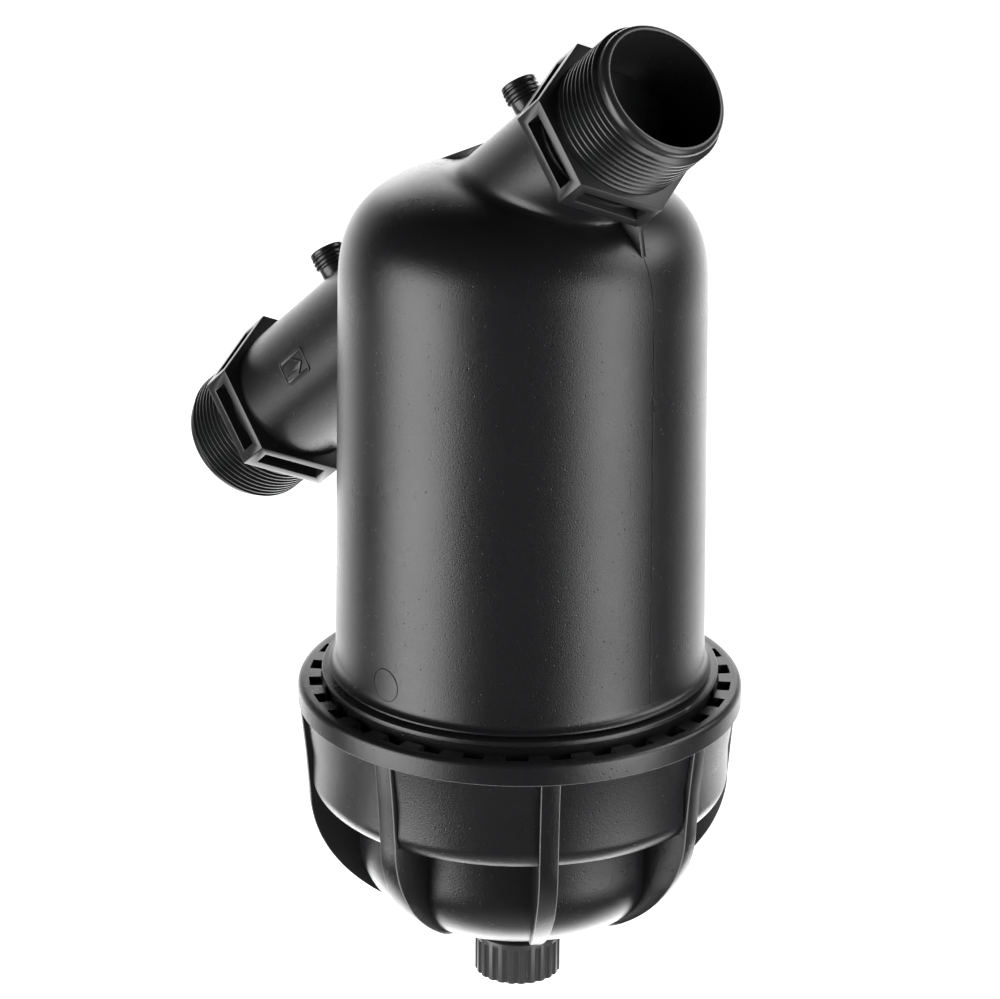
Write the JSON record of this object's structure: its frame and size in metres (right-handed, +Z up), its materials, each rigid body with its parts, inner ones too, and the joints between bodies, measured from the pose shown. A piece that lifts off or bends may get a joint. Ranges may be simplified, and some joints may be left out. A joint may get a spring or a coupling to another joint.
{
  "type": "irrigation disc filter",
  "caption": "Y-pattern disc filter: domed barrel with slanted threaded ports, screw-on ribbed bowl, fluted drain cap and a disc cartridge inside.",
  "frame": {"origin": "where the axis of the two pipe ports crosses the axis of the barrel", "axes": "+Z up along the barrel; the ports lie in the XZ plane, with the outlet towards +X and up"},
  "size_m": [0.2291, 0.147, 0.3387],
  "materials": {
    "black_moulding": "semi-gloss black moulded polypropylene with a fine grain",
    "seal_rubber": "matt black rubber",
    "disc_plastic": "red moulded plastic with fine grooves",
    "core_plastic": "pale grey moulded plastic"
  },
  "bodies": {
    "housing": {"filter_body": "black_moulding", "cover_seal": "seal_rubber"},
    "cartridge": {"cartridge_head": "core_plastic", "cartridge_seal": "seal_rubber", "cartridge_spine": "core_plastic", "disc_pack_01": "disc_plastic", "disc_pack_02": "disc_plastic", "disc_pack_03": "disc_plastic", "disc_pack_04": "disc_plastic", "disc_pack_05": "disc_plastic", "disc_pack_06": "disc_plastic", "disc_pack_07": "disc_plastic", "disc_pack_08": "disc_plastic", "disc_pack_09": "disc_plastic", "disc_pack_10": "disc_plastic", "disc_pack_11": "disc_plastic", "disc_pack_12": "disc_plastic", "disc_pack_13": "disc_plastic", "disc_pack_14": "disc_plastic"},
    "bowl": {"cover": "black_moulding"},
    "drain_seal": {"drain_washer": "seal_rubber"},
    "drain_plug": {"drain_cap": "black_moulding"},
    "clamp": {"clamp_plate": "core_plastic"},
    "clamp_nut": {"clamp_knob": "core_plastic"}
  },
  "joints": [
    {"name": "cover_travel", "type": "slide", "parent": "housing", "child": "cartridge", "axis": [0, 0, -1], "range_m": [0, 0.024]},
    {"name": "cover_turn", "type": "hinge", "parent": "cartridge", "child": "bowl", "pos_m": [0, 0, -0.1639], "axis": [0, 0, -1], "range_deg": [0, 1440]},
    {"name": "drain_travel", "type": "slide", "parent": "bowl", "child": "drain_seal", "axis": [0, 0, -1], "range_m": [0, 0.00726]},
    {"name": "drain_turn", "type": "hinge", "parent": "drain_seal", "child": "drain_plug", "pos_m": [0, 0, -0.2551], "axis": [0, 0, -1], "range_deg": [0, 1440]},
    {"name": "clamp_travel", "type": "slide", "parent": "cartridge", "child": "clamp", "axis": [0, 0, -1], "range_m": [0, 0.004]},
    {"name": "clamp_turn", "type": "hinge", "parent": "clamp", "child": "clamp_nut", "pos_m": [0, 0, -0.2264], "axis": [0, 0, -1], "range_deg": [0, 360]}
  ],
  "couplings": [
    {"joint": "cover_travel", "follows": "cover_turn", "m_per_rad": 0.00095493},
    {"joint": "drain_travel", "follows": "drain_turn", "m_per_rad": 0.00028887},
    {"joint": "clamp_travel", "follows": "clamp_turn", "m_per_rad": 0.00063662}
  ]
}
